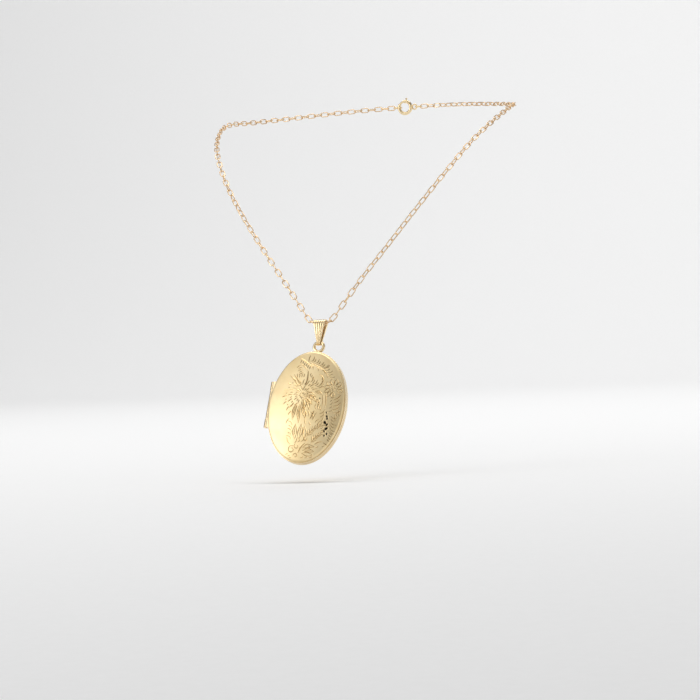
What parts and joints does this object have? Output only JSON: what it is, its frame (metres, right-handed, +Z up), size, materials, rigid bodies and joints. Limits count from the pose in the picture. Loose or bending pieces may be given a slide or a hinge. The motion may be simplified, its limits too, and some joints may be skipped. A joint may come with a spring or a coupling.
{
  "type": "locket",
  "caption": "Oval hinged picture locket with an engraved domed front, hanging from a fluted bail on a fine cable chain with a spring ring clasp.",
  "frame": {"origin": "middle of the neck opening, level with the chain at the sides of the neck", "axes": "+Z up along the neck, -Y the way the wearer and the locket face, +X to the viewer's right"},
  "size_m": [0.1128, 0.1288, 0.1355],
  "materials": {
    "satin_gold": "satin, gold plated, fine brushed",
    "polished_gold": "polished, gold plated",
    "chain_gold": "polished, rose-tinted gold plated",
    "card": "matt blank card",
    "clear_film": "clear gloss film",
    "spring_steel": "drawn wire"
  },
  "bodies": {
    "chain": {"middle_link": "chain_gold", "right_links_1_odd": "chain_gold", "right_links_1_even": "chain_gold", "right_links_2_odd": "chain_gold", "right_links_2_even": "chain_gold", "right_links_3_odd": "chain_gold", "right_links_3_even": "chain_gold", "right_links_4_odd": "chain_gold", "right_links_4_even": "chain_gold", "left_links_1_odd": "chain_gold", "left_links_1_even": "chain_gold", "left_links_2_odd": "chain_gold", "left_links_2_even": "chain_gold", "left_links_3_odd": "chain_gold", "left_links_3_even": "chain_gold", "left_links_4_odd": "chain_gold", "left_links_4_even": "chain_gold", "clasp_body": "polished_gold", "clasp_spring": "spring_steel", "clasp_eye": "polished_gold", "jump_ring": "polished_gold", "end_ring": "polished_gold"},
    "bail": {"bail": "polished_gold"},
    "back_half": {"back_cover": "satin_gold", "back_rim": "polished_gold", "hinge_tube_back_top": "polished_gold", "hinge_tube_back_middle": "polished_gold", "hinge_tube_back_bottom": "polished_gold", "hinge_pin": "polished_gold", "back_card": "card", "back_film": "clear_film", "back_frame": "polished_gold", "top_ring": "polished_gold"},
    "front_half": {"front_cover": "satin_gold", "front_rim": "polished_gold", "hinge_tube_front_upper": "polished_gold", "hinge_tube_front_lower": "polished_gold", "catch_tongue": "polished_gold", "front_card": "card", "front_film": "clear_film", "front_frame": "polished_gold"},
    "clasp_gate": {"clasp_gate": "polished_gold"}
  },
  "joints": [
    {"name": "bail_swing", "type": "hinge", "parent": "chain", "child": "bail", "pos_m": [0, -0.055, -0.077], "axis": [-1, 0, 0], "range_deg": [0, 90]},
    {"name": "locket_sway", "type": "hinge", "parent": "bail", "child": "back_half", "pos_m": [0, -0.0575, -0.0847], "axis": [0, 0.9511, -0.309], "range_deg": [-31, 19]},
    {"name": "cover_open", "type": "hinge", "parent": "back_half", "child": "front_half", "pos_m": [-0.01634, -0.06451, -0.10409], "axis": [-0.1045, -0.3073, -0.9458], "range_deg": [0, 180]},
    {"name": "gate_open", "type": "hinge", "parent": "chain", "child": "clasp_gate", "pos_m": [0, 0.054, 0.007], "axis": [0, 1, 0], "range_deg": [0, 50], "stiffness_Nm_per_rad": 0.0005, "springref_deg": -51.57, "deforming": ["clasp_spring"]}
  ]
}
